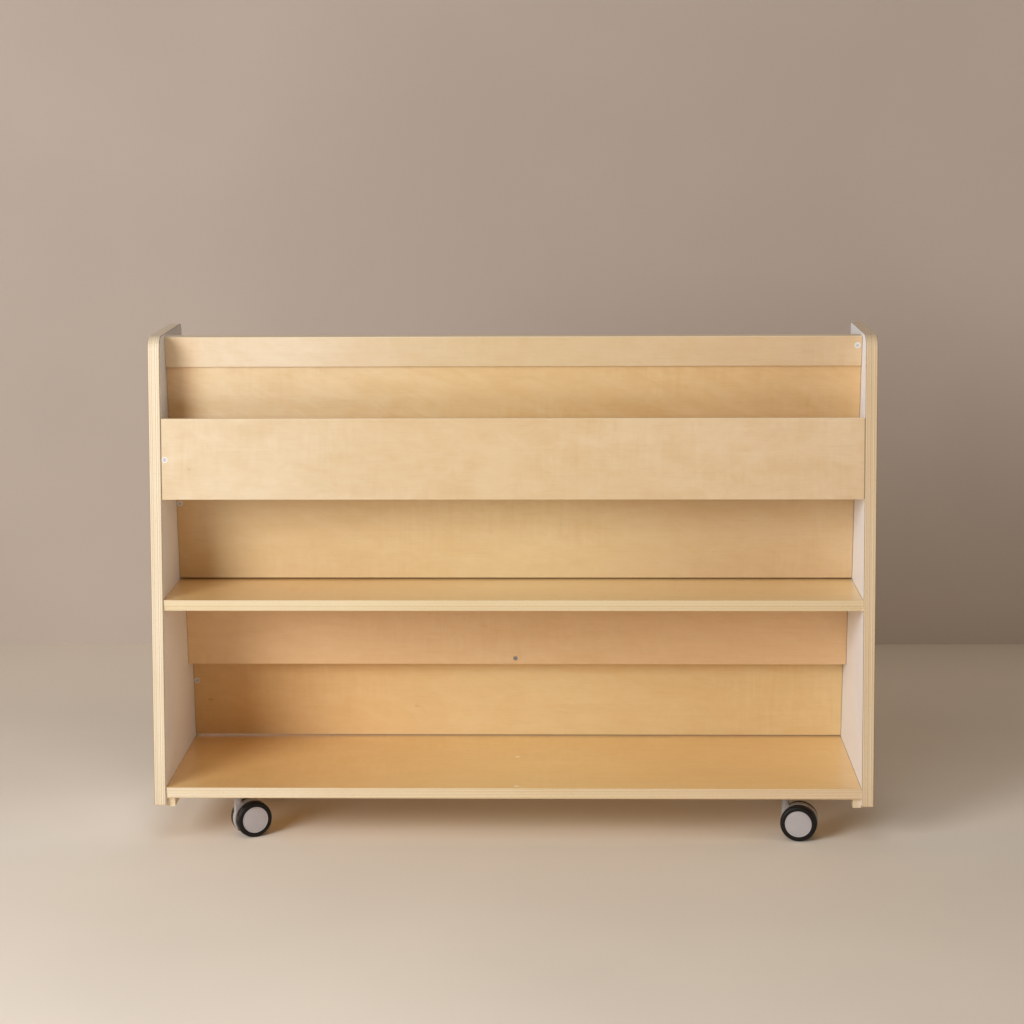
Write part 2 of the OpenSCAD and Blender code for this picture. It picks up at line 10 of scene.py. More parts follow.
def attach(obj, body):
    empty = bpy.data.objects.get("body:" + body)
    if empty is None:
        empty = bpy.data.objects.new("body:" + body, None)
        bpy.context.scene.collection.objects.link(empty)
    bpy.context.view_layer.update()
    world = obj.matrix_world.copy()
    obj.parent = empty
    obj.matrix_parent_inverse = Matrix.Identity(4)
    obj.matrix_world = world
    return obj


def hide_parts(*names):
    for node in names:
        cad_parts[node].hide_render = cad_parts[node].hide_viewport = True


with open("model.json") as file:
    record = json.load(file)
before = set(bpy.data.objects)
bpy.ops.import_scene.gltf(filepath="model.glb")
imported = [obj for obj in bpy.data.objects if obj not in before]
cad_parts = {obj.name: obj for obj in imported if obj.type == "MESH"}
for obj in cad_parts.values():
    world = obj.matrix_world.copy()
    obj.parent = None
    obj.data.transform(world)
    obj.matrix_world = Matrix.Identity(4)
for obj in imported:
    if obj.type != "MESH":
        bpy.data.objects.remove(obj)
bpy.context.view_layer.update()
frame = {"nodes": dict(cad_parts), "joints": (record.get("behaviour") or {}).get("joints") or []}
nodes = frame["nodes"]
scene = bpy.context.scene
print("frame loaded:", len(nodes), "nodes")


# Camera
photoCamera = {
    "place": (0.1102, -4.2042, 1.2806),  # metres
    "pitch": 10.027,  # degrees below the horizon
    "yaw": 1.550,  # degrees towards -X
    "roll": -0.299,
    "focalPixels": 2500,
    "framePixels": 1024,
    "sensorWidth": 36,  # millimetres
    "clip": (0.05, 100),
}


def makeCamera(c):
    pitch, yaw, roll = (math.radians(c[k]) for k in ("pitch", "yaw", "roll"))
    level = Vector((math.cos(yaw), math.sin(yaw), 0))
    ahead = Vector((-math.sin(yaw), math.cos(yaw), 0))
    forward = ahead * math.cos(pitch) - Vector((0, 0, math.sin(pitch)))
    upright = ahead * math.sin(pitch) + Vector((0, 0, math.cos(pitch)))
    right = level * math.cos(roll) + upright * math.sin(roll)
    up = upright * math.cos(roll) - level * math.sin(roll)
    data = bpy.data.cameras.new("photoCamera")
    data.sensor_width = c["sensorWidth"]
    data.lens = c["focalPixels"] * data.sensor_width / c["framePixels"]
    data.clip_start, data.clip_end = c["clip"]
    camera = bpy.data.objects.new("photoCamera", data)
    turn = Matrix((right, up, -forward)).transposed().to_4x4()
    camera.matrix_world = Matrix.Translation(c["place"]) @ turn
    scene.collection.objects.link(camera)
    scene.camera = camera


makeCamera(photoCamera)
print("camera placed")


# Small helpers for node trees
noiseRange = (0.3, 0.7)  # nearly all values of the noise
noiseCore = (0.35, 0.65)


# A colour as seen on screen, 0 to 255, as the linear colour of a socket: a straight line near
# black and a power curve above it.
def shade(red, green, blue):
    out = []
    for v in (red / 255, green / 255, blue / 255):
        out.append(v / 12.92 if v <= 0.04045 else ((v + 0.055) / 1.055) ** 2.4)
    return (*out, 1.0)


# The same colour at a lower brightness
def dimmed(colour, share):
    return tuple(v * share for v in colour[:3]) + (1.0,)


# Links a socket, or sets a plain value.
def feed(tree, socket, value):
    if isinstance(value, bpy.types.NodeSocket):
        tree.links.new(value, socket)
    else:
        socket.default_value = value


def put(tree, kind, values=None, **settings):
    node = tree.nodes.new("ShaderNode" + kind)
    for key, value in settings.items():
        setattr(node, key, value)
    for key, value in (values or {}).items():
        feed(tree, node.inputs[key], value)
    return node


def calc(tree, operation, *values, clamp=False):
    return put(tree, "Math", dict(enumerate(values)), operation=operation, use_clamp=clamp).outputs[0]


def vectorCalc(tree, operation, first, second, output):
    return put(tree, "VectorMath", {0: first, 1: second}, operation=operation).outputs[output]


def dot(tree, first, second):
    return vectorCalc(tree, "DOT_PRODUCT", first, second, "Value")


# Maps low..high to toLow..toHigh smoothly, held at both ends.
def spread(tree, value, low, high, toLow=0.0, toHigh=1.0):
    ends = {"Value": value, "From Min": low, "From Max": high, "To Min": toLow, "To Max": toHigh}
    return put(tree, "MapRange", ends, interpolation_type="SMOOTHSTEP").outputs[0]


def blendColour(tree, factor, first, second, kind="MIX"):
    node = put(tree, "Mix", data_type="RGBA", blend_type=kind, clamp_factor=True)
    for index, value in ((0, factor), (6, first), (7, second)):
        feed(tree, node.inputs[index], value)
    return node.outputs[2]


def blendValue(tree, factor, first, second):
    node = put(tree, "Mix", data_type="FLOAT")
    for index, value in ((0, factor), (2, first), (3, second)):
        feed(tree, node.inputs[index], value)
    return node.outputs[0]


def tinted(tree, colour, tint):
    return blendColour(tree, 1.0, colour, tint, "MULTIPLY")


def noiseAt(tree, place, detail, rough, distortion=0.0):
    return put(tree, "TexNoise", {"Vector": place, "Scale": 1.0, "Detail": detail,
                                  "Roughness": rough, "Distortion": distortion}).outputs[0]


def stretched(tree, place, cells, shift=(0, 0, 0)):
    return put(tree, "Mapping", {"Vector": place, "Location": shift, "Scale": cells}).outputs[0]


# Noise with so many cells per metre along each axis
def noise(tree, place, cells, detail, rough, distortion=0.0, shift=(0, 0, 0)):
    return noiseAt(tree, stretched(tree, place, cells, shift), detail, rough, distortion)


def bumped(tree, height, strength, distance):
    return put(tree, "Bump", {"Height": height, "Strength": strength, "Distance": distance}).outputs[0]


def newMaterial(name):
    material = bpy.data.materials.new(name)
    material.use_nodes = True
    material.node_tree.nodes.clear()
    return material, material.node_tree


# The shader and the output; the named constants are set on the shader's own sockets.
def finishMaterial(tree, colour, roughness, bump, **constants):
    shader = put(tree, "BsdfPrincipled", {k.replace("_", " "): v for k, v in constants.items()})
    for name, value in (("Base Color", colour), ("Roughness", roughness), ("Normal", bump)):
        feed(tree, shader.inputs[name], value)
    out = put(tree, "OutputMaterial")
    tree.links.new(shader.outputs[0], out.inputs[0])


# Puts one material in every slot of a node.
def wear(node, material):
    mesh = nodes[node].data
    if not mesh.materials:
        mesh.materials.append(material)
    for i in range(len(mesh.materials)):
        mesh.materials[i] = material


# A random shift, so that no two boards show the same patch of a pattern
def patternShift(seed):
    return tuple(float(v) for v in np.random.default_rng(seed).uniform(-20, 20, 3))


def pointsOf(node):
    mesh = nodes[node].data
    places = np.empty(len(mesh.vertices) * 3, np.float32)
    mesh.vertices.foreach_get("co", places)
    return places.reshape(-1, 3)


# Lowest place and length of a node, measured along a direction
def spanAlong(node, direction):
    along = pointsOf(node) @ np.array(direction, np.float32)
    return float(along.min()), float(along.max() - along.min())


# Birch plywood
birch = {
    "pale": shade(239, 214, 174),
    "deep": shade(225, 190, 139),
    "line": shade(172, 128, 80),  # pores, dark grain and the glue between plies
    "fleck": shade(160, 108, 58),
    "fleckCells": (8, 15),  # per metre along and across the grain
    "fleckRadii": (0.015, 0.05),
    "fleckStrength": 0.3,
    "fleckShare": 0.8,  # the share of cells that stay empty
    "porous": ((0.56, 0.74), (0.5, 0.8)),  # where pores and grain turn dark
    "lineStrength": 0.09,
    "relief": (-0.5, 0.3),  # height of pores and grain, as shares of the bump's depth
    "roughness": (0.36, 0.5),
    "coat": {"Specular_IOR_Level": 0.5, "Coat_Weight": 0.6, "Coat_Roughness": 0.14},
    "bump": (0.12, 0.0004),  # strength and depth in metres
    "faceFrom": (0.8, 0.97),  # how squarely a surface looks across the plies to show veneer
    "drift": (-0.5, 0.0, 0.5),  # where the three tints of a board hold, in metres
    # where the painted warm shadow at a board's left end fades out, in metres
    "warmEnd": (-0.57, -0.5),
    # The joint colour, width and strengths paint the contact shadow where a board's end meets a panel.
    "joint": shade(96, 58, 26),  # the shade in the joint at a board's end
    "paintedJointShadeWidth": (0.0003, 0.0016),
    "paintedJointShadeStrength": (0.45, 0.8),  # at the left end and the right end
}
# The noise of each layer: cells per metre along and across the grain, detail, roughness, distortion
veneer = {
    "tone": (1.0, 3.4, 2, 0.5, 0.5),
    "cloud": (7, 12, 3, 0.55, 1.3),
    "marble": (24, 36, 3, 0.6, 1.2),
    "bands": (3.2, 30, 4, 0.6, 1.4),
    "ripple": (105, 13, 2, 0.5, 0.6),
    "ripplePatches": (3.2, 6, 1, 0.5),
    "pores": (38, 1300, 2, 0.6),
    "grain": (16, 300, 3, 0.6),
}
flame = {"slant": 24, "cell": (0.09, 0.05, 0.022), "noise": (3, 0.6, 1.0)}  # degrees and metres
ripplePatch = (0.42, 0.66)
# How strongly each layer shows in a board's figure
figures = {
    "even": {"tone": 0.8, "cloud": 0.45, "marble": 0.5, "bands": 0.5, "flame": 0.4, "ripple": 0.55},
    "cloudy": {"tone": 0.7, "cloud": 0.85, "marble": 0.8, "bands": 0.35, "flame": 0.0, "ripple": 0.6},
    "flamed": {"tone": 0.8, "cloud": 0.5, "marble": 0.5, "bands": 0.35, "flame": 1.0, "ripple": 0.65},
}
edges = {
    "pale": shade(247, 230, 200),
    "deep": shade(219, 187, 141),
    "alternate": 0.42,  # how much darker every second ply is
    "chance": 0.42,  # how much darker a ply may be at random
    "patches": ((5, 5, 5), 2, 0.5),
    "patchStrength": 0.5,
    "specks": ((420, 420, 420), 2, 0.6),
    "speckStrength": 0.3,
    "speckHeight": 0.4,
    "glueFrom": 0.42,  # distance from a ply's middle, as a share of its thickness
    "glueStrength": 0.5,
}
plain = ((1, 1, 1), (1, 1, 1), (1, 1, 1))


# A colour that drifts along the board, from the left end over the middle to the right end. It is partly
# the sheet's own tone and partly painted light and shade: paler and cooler where more light falls, warmer
# and darker where shade falls, and brighter in the shelves' middles as a painted sheen.
def lengthDrift(tree, lengthwise, tints):
    left, middle, right = birch["drift"]
    first, second, third = ((*tint, 1) for tint in tints)
    drift = blendColour(tree, spread(tree, lengthwise, left, middle), first, second)
    return blendColour(tree, spread(tree, lengthwise, middle, right), drift, third)


# Rotary-cut veneer: each layer of noise pushes one factor away from its middle, and the
# factor blends the deep tan with the pale cream.
def birchVeneer(tree, place, shift, board):
    along, figure = board["along"], figures[board["figure"]]

    def grainCells(lengthwise, crosswise):
        cells = [crosswise] * 3
        cells[along] = lengthwise
        return tuple(cells)

    def layer(name):
        lengthwise, crosswise, *look = veneer[name]
        return noise(tree, place, grainCells(lengthwise, crosswise), *look, shift=shift)

    def fromMiddle(value):
        return calc(tree, "SUBTRACT", value, 0.5)

    slanted = put(tree, "Mapping", {"Vector": place, "Location": shift, "Scale": flame["cell"],
                                    "Rotation": (0, math.radians(flame["slant"]), 0)},
                  vector_type="TEXTURE").outputs[0]
    ripple = fromMiddle(layer("ripple"))
    rippleIn = spread(tree, layer("ripplePatches"), *ripplePatch)
    layers = {name: layer(name) for name in ("tone", "cloud", "marble", "bands")}
    layers["flame"] = noiseAt(tree, slanted, *flame["noise"])
    layers["ripple"] = calc(tree, "MULTIPLY_ADD", ripple, rippleIn, 0.5)
    factor = 0.5
    for name, value in layers.items():
        if figure[name]:
            factor = calc(tree, "MULTIPLY_ADD", fromMiddle(value), figure[name], factor)
    colour = blendColour(tree, factor, birch["deep"], birch["pale"])
    pores, grain = layer("pores"), layer("grain")
    poresFrom, grainFrom = birch["porous"]
    dark = calc(tree, "ADD", spread(tree, pores, *poresFrom, 0, birch["lineStrength"]),
                spread(tree, grain, *grainFrom, 0, birch["lineStrength"]))
    colour = blendColour(tree, dark, colour, birch["line"])

    # the sheet's colour drifts along its length, partly its own tone and partly painted light and shade,
    # and some sheets carry a painted warm shadow at the left end
    lengthwise = put(tree, "SeparateXYZ", {0: place}).outputs[0]
    colour = tinted(tree, colour, lengthDrift(tree, lengthwise, board["tints"]))
    if board["warmEnd"]:
        inFromEnd = spread(tree, lengthwise, *birch["warmEnd"])
        paintedShadowTint = blendColour(tree, inFromEnd, (*board["warmEnd"], 1), (1, 1, 1, 1))
        colour = tinted(tree, colour, paintedShadowTint)

    # small brown flecks, each in its own cell
    where = stretched(tree, place, grainCells(*birch["fleckCells"]), shift)
    cells = put(tree, "TexVoronoi", {"Vector": where, "Scale": 1.0, "Randomness": 1.0}, feature="F1")
    fleck = spread(tree, cells.outputs["Distance"], *birch["fleckRadii"], birch["fleckStrength"], 0)
    pick = put(tree, "SeparateColor", {0: cells.outputs["Color"]}).outputs[0]
    fleck = calc(tree, "MULTIPLY", fleck, calc(tree, "GREATER_THAN", pick, birch["fleckShare"]))
    colour = blendColour(tree, fleck, colour, birch["fleck"])

    # painted shade: a thin dark line standing in for the contact shadow where a board that runs from panel
    # to panel meets them
    if along == 0:
        left, length = spanAlong(board["node"], sideways)
        for end, side, strength in zip((left, left + length), (-1.0, 1.0), birch["paintedJointShadeStrength"]):
            fromEnd = calc(tree, "MULTIPLY", calc(tree, "SUBTRACT", end, lengthwise), side)
            line = spread(tree, fromEnd, *birch["paintedJointShadeWidth"], strength, 0)
            colour = blendColour(tree, line, colour, birch["joint"])
    poreHeight, grainHeight = birch["relief"]
    height = calc(tree, "MULTIPLY_ADD", pores, poreHeight, calc(tree, "MULTIPLY", grain, grainHeight))
    return colour, height, layers["cloud"]


# Plies seen on an edge: stripes that alternate in tone, with thin glue lines between them
def plyStripes(tree, place, shift, board):
    start, thickness = spanAlong(board["node"], board["across"])
    depth = dot(tree, place, board["across"])
    count = calc(tree, "DIVIDE", calc(tree, "SUBTRACT", depth, start), thickness / board["plies"])
    index = calc(tree, "FLOOR", count)
    within = calc(tree, "FRACT", count)
    odd = calc(tree, "MODULO", index, 2.0)
    chance = put(tree, "TexWhiteNoise", {"W": calc(tree, "ADD", index, board["seed"] + 0.5)},
                 noise_dimensions="1D").outputs[0]
    patches = calc(tree, "SUBTRACT", noise(tree, place, *edges["patches"], shift=shift), 0.5)
    darker = calc(tree, "MULTIPLY", chance, edges["chance"])
    darker = calc(tree, "MULTIPLY_ADD", odd, edges["alternate"], darker)
    darker = calc(tree, "MULTIPLY_ADD", patches, edges["patchStrength"], darker, clamp=True)
    stripes = blendColour(tree, darker, edges["pale"], edges["deep"])
    speck = noise(tree, place, *edges["specks"], shift=shift)
    specks = calc(tree, "MULTIPLY", spread(tree, speck, 0.5, 0.75, 0, edges["speckStrength"]), odd)
    stripes = blendColour(tree, specks, stripes, birch["line"])
    offMiddle = calc(tree, "ABSOLUTE", calc(tree, "SUBTRACT", within, 0.5))
    glue = spread(tree, offMiddle, edges["glueFrom"], 0.5, 0, edges["glueStrength"])
    stripes = blendColour(tree, glue, stripes, birch["line"])
    return stripes, calc(tree, "MULTIPLY", speck, edges["speckHeight"])


# Lacquered birch ply: veneer where the surface looks across the plies, their edges elsewhere
def birchBoard(board):
    material, tree = newMaterial("birch_" + board["node"])
    shift = patternShift(board["seed"])
    coords = put(tree, "TexCoord")
    place = coords.outputs["Object"]
    colour, height = plyStripes(tree, place, shift, board)
    # the edge tints are painted light and shade along the edges, mixed with the plies' own tone
    if board["edgeTints"]:
        lengthwise = put(tree, "SeparateXYZ", {0: place}).outputs[0]
        colour = tinted(tree, colour, lengthDrift(tree, lengthwise, board["edgeTints"]))
    rough = birch["roughness"][1]
    if board["faces"]:
        faceColour, faceHeight, cloud = birchVeneer(tree, place, shift, board)
        facing = calc(tree, "ABSOLUTE", dot(tree, coords.outputs["Normal"], board["across"]))
        isFace = spread(tree, facing, *birch["faceFrom"])
        colour = blendColour(tree, isFace, colour, faceColour)
        height = blendValue(tree, isFace, height, faceHeight)
        rough = spread(tree, cloud, *noiseRange, *birch["roughness"])
    finishMaterial(tree, colour, rough, bumped(tree, height, *birch["bump"]), **birch["coat"])
    return material


lean = math.radians(5)
towardsBack = (0, math.cos(lean), math.sin(lean))  # across a board that leans with the rear edge
towardsLip = (0, math.cos(lean), -math.sin(lean))
upwards = (0, 0, 1)
sideways = (1, 0, 0)
usualBoard = {"plies": 13, "along": 0, "faces": True, "figure": "even",
              "tints": plain, "edgeTints": None, "warmEnd": None}
hiddenTints = ((0.92, 0.87, 0.74),) * 3
# Each board's tints mix its own tone with painted light and shade.
boards = {
    "top_rail": {
        "across": towardsBack, "seed": 3, "warmEnd": (0.95, 0.84, 0.7),
        "tints": ((1.05, 1.18, 1.52), (0.91, 0.91, 0.89), (0.93, 0.89, 0.9))},
    "upper_board": {
        "across": towardsBack, "plies": 9, "seed": 5, "figure": "flamed", "warmEnd": (0.98, 0.82, 0.66),
        "tints": ((1.01, 1.03, 1.07), (1.01, 0.97, 0.84), (0.97, 0.86, 0.71))},
    "middle_board": {
        "across": towardsBack, "plies": 9, "seed": 8, "warmEnd": (1.02, 0.93, 0.83),
        "tints": ((0.94, 0.94, 0.87), (1.0, 1.04, 0.98), (0.9, 0.87, 0.83))},
    "rear_rail": {
        "across": towardsBack, "seed": 13,
        "tints": ((1.12, 1.04, 0.97), (1.0, 0.94, 0.9), (0.98, 0.88, 0.8))},
    "lower_board": {
        "across": towardsBack, "plies": 9, "seed": 21,
        "tints": ((1.05, 0.93, 0.73), (1.07, 1.09, 1.0), (0.99, 0.97, 0.84))},
    "lip_board": {
        "across": towardsLip, "seed": 34, "figure": "cloudy",
        "tints": ((0.95, 1.0, 1.11), (0.95, 0.93, 0.91), (1.01, 1.0, 1.06))},
    "pocket_floor": {"across": upwards, "seed": 41, "tints": hiddenTints},
    "middle_shelf": {
        "across": upwards, "seed": 47,
        "edgeTints": ((0.98, 1.0, 0.95), (0.98, 0.97, 0.86), (0.99, 0.95, 0.84)),
        "tints": ((1.04, 0.95, 0.75), (1.16, 1.22, 1.13), (1.12, 1.12, 0.98))},
    "bottom_shelf": {
        "across": upwards, "seed": 52,
        "edgeTints": ((1.03, 1.07, 1.12), (0.99, 0.96, 0.87), (0.98, 0.91, 0.83)),
        "tints": ((1.04, 0.9, 0.63), (1.15, 1.13, 0.88), (1.12, 1.05, 0.81))},
    "rear_ledge": {"across": upwards, "seed": 58, "tints": hiddenTints},
    "cleat_left": {"across": upwards, "seed": 68, "along": 1},
    "cleat_right": {"across": upwards, "seed": 76, "along": 1},
    "end_panel_left": {
        "across": sideways, "plies": 12, "seed": 63, "faces": False,
        "edgeTints": ((0.98, 1.03, 1.1), (1, 1, 1), (1, 1, 1))},
    "end_panel_right": {
        "across": sideways, "plies": 12, "seed": 71, "faces": False,
        "edgeTints": ((1, 1, 1), (1, 1, 1), (0.97, 0.94, 0.91))},
}
for node, look in boards.items():
    wear(node, birchBoard({**usualBoard, **look, "node": node}))
print("birch plywood done")


# White laminate
laminate = {
    "white": shade(248, 250, 255),
    "grey": shade(241, 243, 249),
    "core": shade(158, 124, 88),  # its brown paper core, seen as a thin line along the edges
    "smears": ((3, 3, 9), 4, 0.6, 0.6),
    "grit": ((900, 900, 900), 2, 0.5),
    "faceFrom": (0.7, 0.9),
    "roughness": (0.38, 0.5),
    "bump": (0.15, 0.0003),
}


# Fine-textured laminate with faint wiped smears, white where the surface looks sideways
def whiteLaminate(name, seed):
    material, tree = newMaterial(name)
    shift = patternShift(seed)
    coords = put(tree, "TexCoord")
    place = coords.outputs["Object"]
    smear = noise(tree, place, *laminate["smears"], shift=shift)
    grit = noise(tree, place, *laminate["grit"], shift=shift)
    colour = blendColour(tree, spread(tree, smear, 0.35, 0.7), laminate["white"], laminate["grey"])
    facing = calc(tree, "ABSOLUTE", dot(tree, coords.outputs["Normal"], sideways))
    colour = blendColour(tree, spread(tree, facing, *laminate["faceFrom"]), laminate["core"], colour)
    rough = spread(tree, smear, *noiseRange, *laminate["roughness"])
    finishMaterial(tree, colour, rough, bumped(tree, grit, *laminate["bump"]), Specular_IOR_Level=0.4)
    return material


for seed, node in enumerate(n for n in nodes if n.startswith("laminate_")):
    wear(node, whiteLaminate("white_" + node, seed))
print("laminate done")


# Fittings: the colour and roughness of each
plastics = {
    "cam_housings": (shade(244, 243, 241), 0.35),
    "cam_discs": (shade(226, 222, 219), 0.4),
    "shelf_plugs": (shade(255, 250, 232), 0.4),
}
metals = {
    "connecting_bolts": (shade(190, 190, 192), 0.3),
    "ledge_screw": (shade(178, 177, 178), 0.4),
    "cleat_screws": (shade(150, 150, 150), 0.35),
    "castor_screws": (shade(150, 150, 150), 0.35),
}
beech = (shade(214, 178, 134), 0.6)
plasticGrain = {
    "clouds": ((30, 30, 30), 3, 0.5),
    "grit": ((700, 700, 700), 2, 0.5),
    "dim": 0.94,
    "roughness": (-0.04, 0.08),  # added to the piece's own at both ends of the noise
    "bump": (0.12, 0.0002),
}
zincGrain = {
    "bloom": ((160, 160, 160), 4, 0.6),
    "scratches": ((60, 900, 900), 2, 0.5),
    "dim": 0.78,
    "roughness": (-0.06, 0.12),
    "bump": (0.1, 0.0001),
}


# A finish that shifts between the colour and a dimmer one, with its roughness
def cloudedFinish(tree, clouds, grit, look, colour, roughness, **constants):
    least, most = look["roughness"]
    mixed = blendColour(tree, spread(tree, clouds, *noiseCore), colour, dimmed(colour, look["dim"]))
    rough = spread(tree, clouds, *noiseRange, roughness + least, roughness + most)
    finishMaterial(tree, mixed, rough, bumped(tree, grit, *look["bump"]), **constants)


# Moulded plastic: slight cloudiness and a fine spark-eroded texture
def mouldedPlastic(name, colour, roughness):
    material, tree = newMaterial(name)
    place = put(tree, "TexCoord").outputs["Object"]
    clouds = noise(tree, place, *plasticGrain["clouds"])
    cloudedFinish(tree, clouds, noise(tree, place, *plasticGrain["grit"]), plasticGrain, colour, roughness)
    return material


# Zinc-plated metal, dull in patches
def zincMetal(name, colour, roughness):
    material, tree = newMaterial(name)
    place = put(tree, "TexCoord").outputs["Object"]
    bloom = noise(tree, place, *zincGrain["bloom"])
    scratches = noise(tree, place, *zincGrain["scratches"])
    cloudedFinish(tree, bloom, scratches, zincGrain, colour, roughness, Metallic=1.0)
    return material


for node, look in plastics.items():
    wear(node, mouldedPlastic("plastic_" + node, *look))
for node, look in metals.items():
    wear(node, zincMetal("metal_" + node, *look))
wear("dowels", mouldedPlastic("beech_dowels", *beech))
print("fittings done")


# Castors
castorLooks = {
    "body": (shade(182, 177, 176), 0.32),
    "disc": (shade(187, 181, 182), 0.34),
    "steel": (shade(172, 172, 174), 0.32),
}
rubberLook = {
    "colour": shade(17, 13, 13),
    "dust": shade(120, 108, 98),
    "dustStrength": 0.35,
    "dustBand": (0.0012, 0.0001),  # inside the full radius, in metres
    "clouds": ((90, 90, 90), 4, 0.6),
    "grit": ((1500, 1500, 1500), 2, 0.5),
    "roughness": (0.42, 0.58),
    "bump": (0.2, 0.0002),
}


# Matt rubber, with floor dust where the distance from the axle's line is nearly the full radius,
# which is the axle's height over the floor
def tyreRubber(name, centre, axis):
    material, tree = newMaterial(name)
    place = put(tree, "TexCoord").outputs["Object"]
    clouds = noise(tree, place, *rubberLook["clouds"])
    grit = noise(tree, place, *rubberLook["grit"])
    fromAxle = vectorCalc(tree, "SUBTRACT", place, tuple(centre), 0)
    along = dot(tree, fromAxle, tuple(axis))
    square = dot(tree, fromAxle, fromAxle)
    reach = calc(tree, "SQRT", calc(tree, "SUBTRACT", square, calc(tree, "MULTIPLY", along, along)))
    clean, dirty = (centre[2] - inset for inset in rubberLook["dustBand"])
    dusty = calc(tree, "MULTIPLY", spread(tree, reach, clean, dirty),
                 spread(tree, clouds, 0.4, 0.7, 0.0, rubberLook["dustStrength"]))
    colour = blendColour(tree, dusty, rubberLook["colour"], rubberLook["dust"])
    rough = spread(tree, clouds, *noiseRange, *rubberLook["roughness"])
    finishMaterial(tree, colour, rough, bumped(tree, grit, *rubberLook["bump"]), Specular_IOR_Level=0.3)
    return material


# Sizes of the turned wheels, in millimetres; distances along the axle start at the inner face
wheelForm = {
    "bore": (3.05, 10.5),  # radius and depth
    "discRadius": 22.4,
    "discBreak": 0.3,  # the broken edge at the inner face
    "discEdge": 0.5,  # radius of the rim's rounding
    "discEdgeSteps": 7,
    "rimHeight": 14.9,
    "grooveRadius": 20.4,
    "grooveWidth": 0.5,
    "grooveDepth": 0.3,
    "grooveBreak": 0.1,
    "domeHeight": 15.4,
    "domeSteps": 16,
    "seatRadius": 22.5,  # where the tyre sits
    "seatHeight": 13.3,
    "tyreFace": 14.4,
    "tyreRadius": 31,
    "crown": 0.3,
    "crownSteps": 9,
    "innerRound": 2.0,
    "innerSteps": 7,
    "shoulder": 4.6,
    "shoulderSteps": 14,
    "shoulderEnd": 0.3,
    "sidewall": ((1.9, 0.12), (1.0, 0.05)),  # outside the seat, and below the tyre's face
    "lipMiddle": 0.75,  # outside the seat, and below the tyre's face
    "lipRadius": 0.7,
    "lipArc": (80, 170, 6),  # from, to and steps
    "steps": 120,  # round the axle
}
hoodForm = {"edge": 0.0011, "edgeSteps": 3, "edgeAngle": 35, "flatWithin": 0.3}  # metres and degrees
mergeWithin = 2e-6


# Points on a circle about centre, from one angle to another in degrees
def arc(centre, radius, first, last, count):
    angle = np.radians(np.linspace(first, last, count))
    return np.stack((centre[0] + radius * np.cos(angle), centre[1] + radius * np.sin(angle)), 1)


# The disc's outline: its bore, its inner face, a rounded rim, a fine groove and a dome that
# sinks with the square of the radius
def discOutline(f):
    boreRadius, boreDepth = f["bore"]
    radius, edge, top = f["discRadius"], f["discEdge"], f["rimHeight"]
    rim, broken, soft = radius - edge, f["discBreak"], f["grooveBreak"]
    groove, wide, deep = f["grooveRadius"], f["grooveWidth"], f["grooveDepth"]
    r = np.linspace(groove - wide - soft, 0, f["domeSteps"])
    dome = np.stack((r, f["domeHeight"] - (f["domeHeight"] - top) * (r / r[0]) ** 2), 1)
    return np.concatenate((
        [(0, boreDepth), (boreRadius, boreDepth), (boreRadius, 0), (radius - broken, 0), (radius, broken)],
        arc((rim, top - edge), edge, 0, 90, f["discEdgeSteps"]),
        [(rim - soft, top), (groove + soft, top), (groove, top - soft), (groove - wide / 2, top - deep),
         (groove - wide, top - soft)],
        dome,
    ))


# The tyre's outline: its seat on the disc, the inner face, a running surface that falls off
# with the square of the distance from its middle, a full shoulder and a lip over the disc
def tyreOutline(f):
    seat, inner, outer = f["seatRadius"], f["innerRound"], f["shoulder"]
    face, radius, lip = f["tyreFace"], f["tyreRadius"], f["lipMiddle"]
    along = np.linspace(inner, face - outer, f["crownSteps"])
    middle = (along[0] + along[-1]) / 2
    fall = f["crown"] * ((along - middle) / (along[-1] - middle)) ** 2
    edge = radius - f["crown"]
    return np.concatenate((
        [(seat, 0)],
        arc((edge - inner, inner), inner, -90, 0, f["innerSteps"])[:-1],
        np.stack((radius - fall, along), 1),
        arc((edge - outer, face - outer), outer, 0, 90, f["shoulderSteps"])[1:],
        [(edge - outer - f["shoulderEnd"], face)],
        [(seat + out, face - down) for out, down in f["sidewall"]],
        arc((seat + lip, face - lip), f["lipRadius"], *f["lipArc"]),
        [(seat, f["seatHeight"])],
    ))


# An outline of (radius, distance) in millimetres turned about the axle: the point at angle a is
# origin + distance along the axle + radius times (cos a to one side, sin a upwards).
def turned(name, outline, origin, outward, steps, loop):
    upright = np.array((0, 0, 1.0))
    level = np.cross(upright, outward)
    angle = np.arange(steps) * 2 * np.pi / steps
    radial = np.outer(np.cos(angle), level) + np.outer(np.sin(angle), upright)
    radius, along = np.asarray(outline).T / 1000
    places = origin + along[:, None, None] * outward + radius[:, None, None] * radial
    rows = len(radius)
    i, j = np.meshgrid(np.arange(rows if loop else rows - 1), np.arange(steps), indexing="ij")
    row, nextRow, nextStep = i * steps, (i + 1) % rows * steps, (j + 1) % steps
    quads = np.stack((row + j, row + nextStep, nextRow + nextStep, nextRow + j), -1)
    mesh = bpy.data.meshes.new(name)
    mesh.from_pydata(places.reshape(-1, 3).tolist(), [], quads.reshape(-1, 4).tolist())
    return closedPiece(name, mesh)


